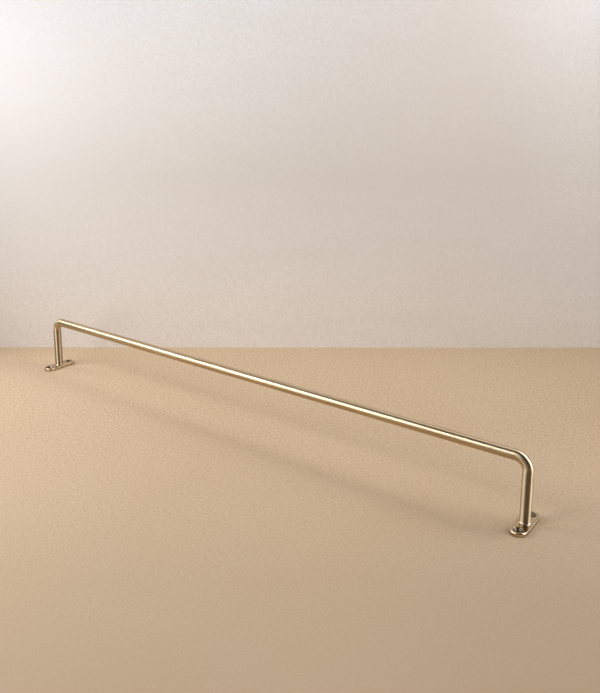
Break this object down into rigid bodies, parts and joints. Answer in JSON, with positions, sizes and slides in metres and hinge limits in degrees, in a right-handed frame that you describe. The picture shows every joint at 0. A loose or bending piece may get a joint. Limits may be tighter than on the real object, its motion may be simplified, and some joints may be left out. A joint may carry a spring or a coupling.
{
  "type": "towel rail",
  "caption": "Slim wall-mounted towel rail: a round brass rod bent down into a short leg at each end, brazed to small round-ended plates with countersunk screw holes.",
  "frame": {"origin": "on the wall plane, midway between the two legs", "axes": "+X along the bar, +Z away from the wall, +Y across the bar along the wall"},
  "size_m": [0.6654, 0.044, 0.0685],
  "materials": {
    "rod_brass": "polished, faintly brushed along the rod, unlacquered",
    "plate_brass": "polished face, filed and polished edge",
    "braze_metal": "cleaned and polished braze metal, a little duller than the rod"
  },
  "bodies": {
    "root": {"rail_rod": "rod_brass", "left_base_plate": "plate_brass", "right_base_plate": "plate_brass", "left_braze_fillet": "braze_metal", "right_braze_fillet": "braze_metal"}
  },
  "joints": []
}
